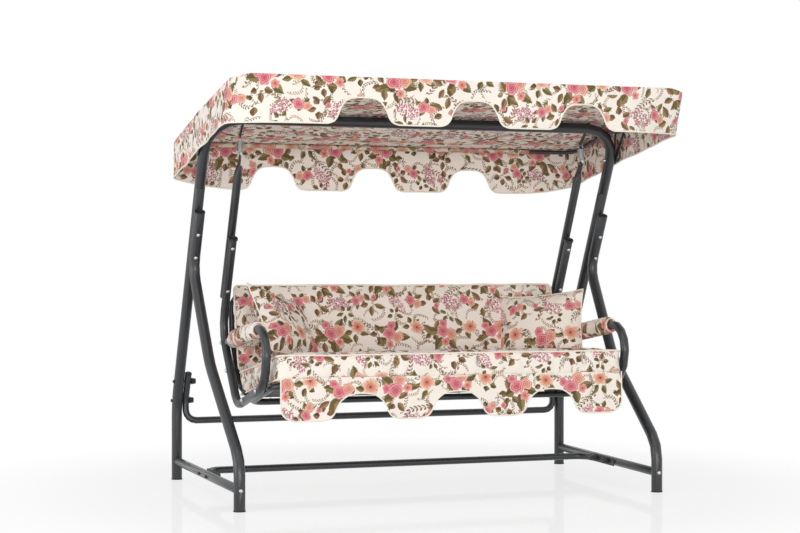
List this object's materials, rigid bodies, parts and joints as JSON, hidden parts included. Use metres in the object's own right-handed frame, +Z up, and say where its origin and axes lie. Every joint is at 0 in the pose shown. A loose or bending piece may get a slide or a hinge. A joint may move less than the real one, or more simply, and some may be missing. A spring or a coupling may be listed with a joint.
{
  "type": "garden swing seat",
  "caption": "Hanging garden bench on a tubular stand, with spring suspension, armrests, cushions, scalloped skirt and a tilting canopy.",
  "frame": {"origin": "on the floor under the middle of the overall box", "axes": "+X across the seat to the sitter's left as seen from the front right-hand side, -Y to the front, +Z up"},
  "size_m": [2, 1.2756, 1.734],
  "materials": {
    "coated_steel": "dark grey powder coat, satin",
    "zinc_steel": "zinc plated steel",
    "black_plastic": "moulded black plastic",
    "printed_cloth": "cream woven cloth printed with roses and leaves",
    "seat_mesh": "dark grey coated mesh"
  },
  "bodies": {
    "frame": {"top_bow": "coated_steel", "floor_crossbar": "coated_steel", "rear_brace": "coated_steel", "left_rear_leg": "coated_steel", "left_front_leg": "coated_steel", "left_floor_bar": "coated_steel", "left_floor_bar_bolt": "zinc_steel", "left_front_foot_cap": "black_plastic", "left_rear_foot_cap": "black_plastic", "left_leg_cap": "black_plastic", "left_leg_bolt_1": "zinc_steel", "left_leg_bolt_2": "zinc_steel", "left_crossbar_bolt_1": "black_plastic", "left_crossbar_bolt_2": "black_plastic", "left_brace_bolt_1": "black_plastic", "left_brace_bolt_2": "black_plastic", "left_canopy_bolt": "zinc_steel", "right_rear_leg": "coated_steel", "right_front_leg": "coated_steel", "right_floor_bar": "coated_steel", "right_floor_bar_bolt": "zinc_steel", "right_front_foot_cap": "black_plastic", "right_rear_foot_cap": "black_plastic", "right_leg_cap": "black_plastic", "right_leg_bolt_1": "zinc_steel", "right_leg_bolt_2": "zinc_steel", "right_crossbar_bolt_1": "black_plastic", "right_crossbar_bolt_2": "black_plastic", "right_brace_bolt_1": "black_plastic", "right_brace_bolt_2": "black_plastic", "right_canopy_bolt": "zinc_steel"},
    "left_spring": {"left_spring": "zinc_steel"},
    "right_spring": {"right_spring": "zinc_steel"},
    "left_link": {"left_link": "zinc_steel"},
    "right_link": {"right_link": "zinc_steel"},
    "seat": {"seat_frame": "coated_steel", "back_frame": "coated_steel", "seat_mesh": "seat_mesh", "seat_cushion": "printed_cloth", "back_cushion": "printed_cloth", "skirt": "printed_cloth", "left_hanger": "coated_steel", "left_lower_arm": "coated_steel", "left_armrest": "coated_steel", "left_armrest_pad": "printed_cloth", "left_arm_cap": "black_plastic", "left_arm_bolt_1": "zinc_steel", "left_arm_bolt_2": "zinc_steel", "left_pillow": "printed_cloth", "right_hanger": "coated_steel", "right_lower_arm": "coated_steel", "right_armrest": "coated_steel", "right_armrest_pad": "printed_cloth", "right_arm_cap": "black_plastic", "right_arm_bolt_1": "zinc_steel", "right_arm_bolt_2": "zinc_steel", "right_pillow": "printed_cloth"},
    "canopy": {"canopy_frame": "coated_steel", "canopy_cover": "printed_cloth"}
  },
  "joints": [
    {"name": "seat_swing", "type": "hinge", "parent": "frame", "child": "left_spring", "pos_m": [-0.8, 0.02425, 1.536], "axis": [-1, 0, 0], "range_deg": [-18, 18]},
    {"name": "right_spring_swing", "type": "hinge", "parent": "frame", "child": "right_spring", "pos_m": [0.8, 0.02425, 1.536], "axis": [-1, 0, 0], "range_deg": [-18, 18]},
    {"name": "seat_bounce", "type": "slide", "parent": "left_spring", "child": "left_link", "axis": [0, 0, -1], "range_m": [0, 0.02], "stiffness_N_per_m": 50000, "springref_m": -0.0165, "deforming": ["left_spring"]},
    {"name": "right_spring_bounce", "type": "slide", "parent": "right_spring", "child": "right_link", "axis": [0, 0, -1], "range_m": [0, 0.02], "deforming": ["right_spring"]},
    {"name": "seat_rock", "type": "hinge", "parent": "left_link", "child": "seat", "pos_m": [-0.8, 0.02425, 1.444], "axis": [-1, 0, 0], "range_deg": [-6, 6]},
    {"name": "canopy_tilt", "type": "hinge", "parent": "frame", "child": "canopy", "pos_m": [0, 0.04125, 1.465], "axis": [-1, 0, 0], "range_deg": [0, 20]}
  ],
  "couplings": [
    {"joint": "right_spring_swing", "follows": "seat_swing", "ratio": 1},
    {"joint": "right_spring_bounce", "follows": "seat_bounce", "ratio": 1}
  ]
}
